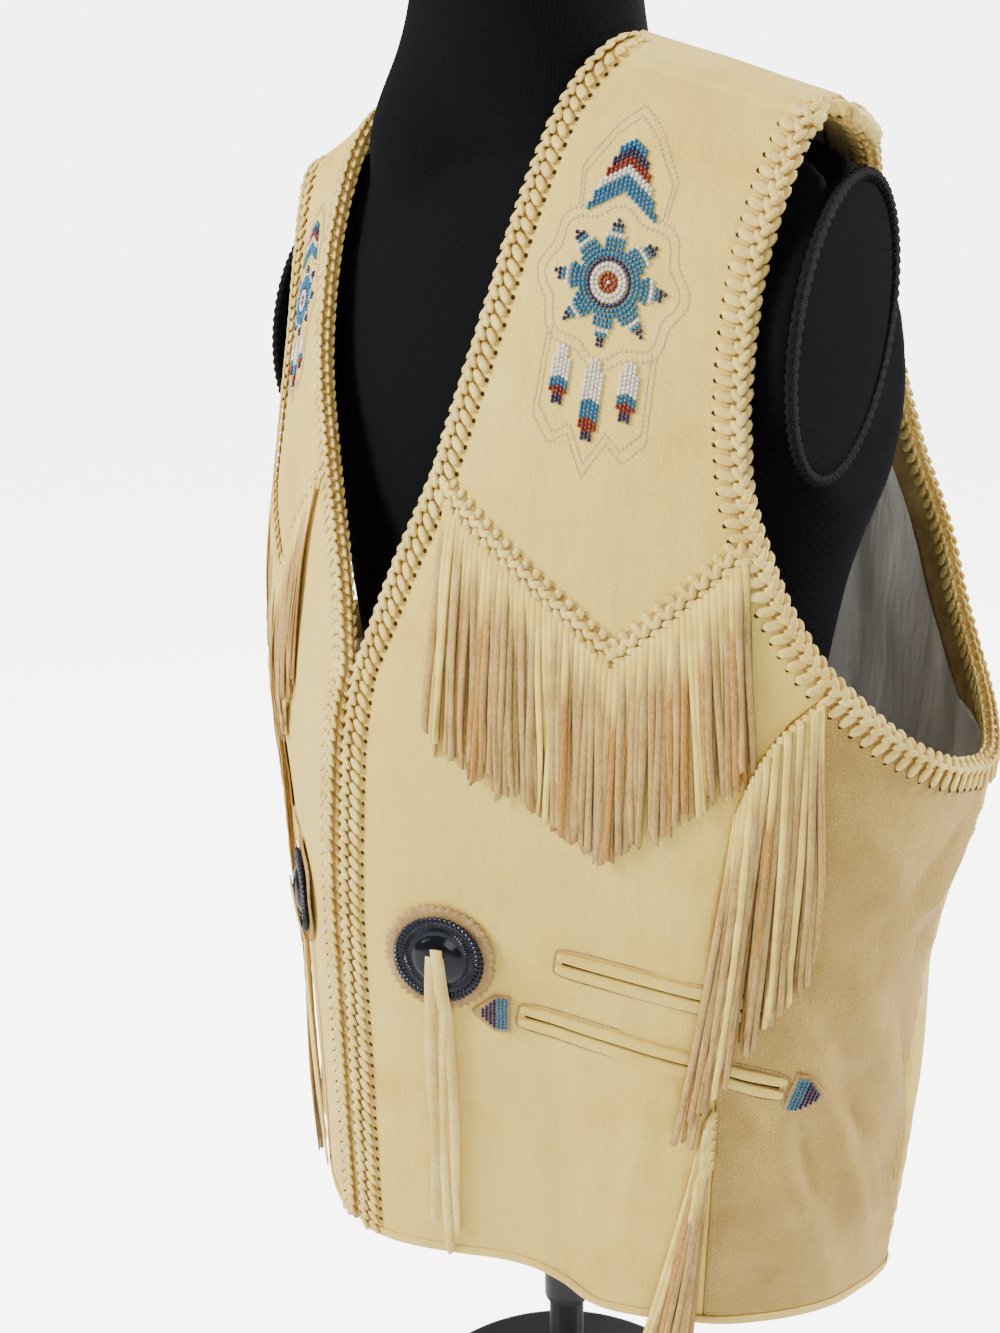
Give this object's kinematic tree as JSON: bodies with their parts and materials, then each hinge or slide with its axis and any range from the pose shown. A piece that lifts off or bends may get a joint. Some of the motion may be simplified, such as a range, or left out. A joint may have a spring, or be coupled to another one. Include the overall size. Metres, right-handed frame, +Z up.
{
  "type": "fringed leather vest on dress form",
  "caption": "Sleeveless leather vest with laced edges, fringed yokes and seams, beaded chest panels, tabbed pockets and conchos, worn on a limbless dress form on a round stand.",
  "frame": {"origin": "middle of the footprint, on the floor under the stand's base", "axes": "+Z up; the front of the vest faces -Y; the wearer's left is +X"},
  "size_m": [0.5302, 0.3749, 1.074],
  "materials": {
    "leather": "soft matt deerskin",
    "side_leather": "pebbled matt deerskin",
    "suede": "napped suede",
    "facing": "napped suede",
    "satin": "satin lining",
    "lace": "smooth leather lace",
    "tab": "matt leather",
    "concho": "blackened and polished on the high spots",
    "jersey": "matt stretch jersey",
    "stand": "satin paint"
  },
  "bodies": {
    "root": {"yoke_left": "leather", "front_left": "leather", "side_front_left": "side_leather", "facing_armhole_left": "facing", "facing_front_left": "facing", "edge_lacing_left": "lace", "armhole_lacing_left": "lace", "yoke_braid_left": "lace", "yoke_fringe_left": "suede", "seam_fringe_upper_left": "suede", "seam_fringe_lower_left": "suede", "pocket_upper_top_left": "leather", "pocket_upper_bottom_left": "leather", "pocket_lower_top_left": "leather", "pocket_lower_bottom_left": "leather", "pocket_tab_front_left": "tab", "pocket_tab_side_left": "tab", "rosette_left": "tab", "concho_left": "concho", "tie_1_left": "lace", "tie_2_left": "lace", "tie_3_left": "lace", "yoke_right": "leather", "front_right": "leather", "side_front_right": "side_leather", "facing_armhole_right": "facing", "facing_front_right": "facing", "edge_lacing_right": "lace", "armhole_lacing_right": "lace", "yoke_braid_right": "lace", "yoke_fringe_right": "suede", "seam_fringe_upper_right": "suede", "seam_fringe_lower_right": "suede", "pocket_upper_top_right": "leather", "pocket_upper_bottom_right": "leather", "pocket_lower_top_right": "leather", "pocket_lower_bottom_right": "leather", "pocket_tab_front_right": "tab", "pocket_tab_side_right": "tab", "rosette_right": "tab", "concho_right": "concho", "tie_1_right": "lace", "tie_2_right": "lace", "tie_3_right": "lace", "back": "leather", "lining_back": "satin", "lining_side_left": "satin", "lining_side_right": "satin", "dress_form": "jersey", "arm_plate_left": "jersey", "arm_plate_right": "jersey", "stand_pole": "stand", "stand_base": "stand"}
  },
  "joints": []
}
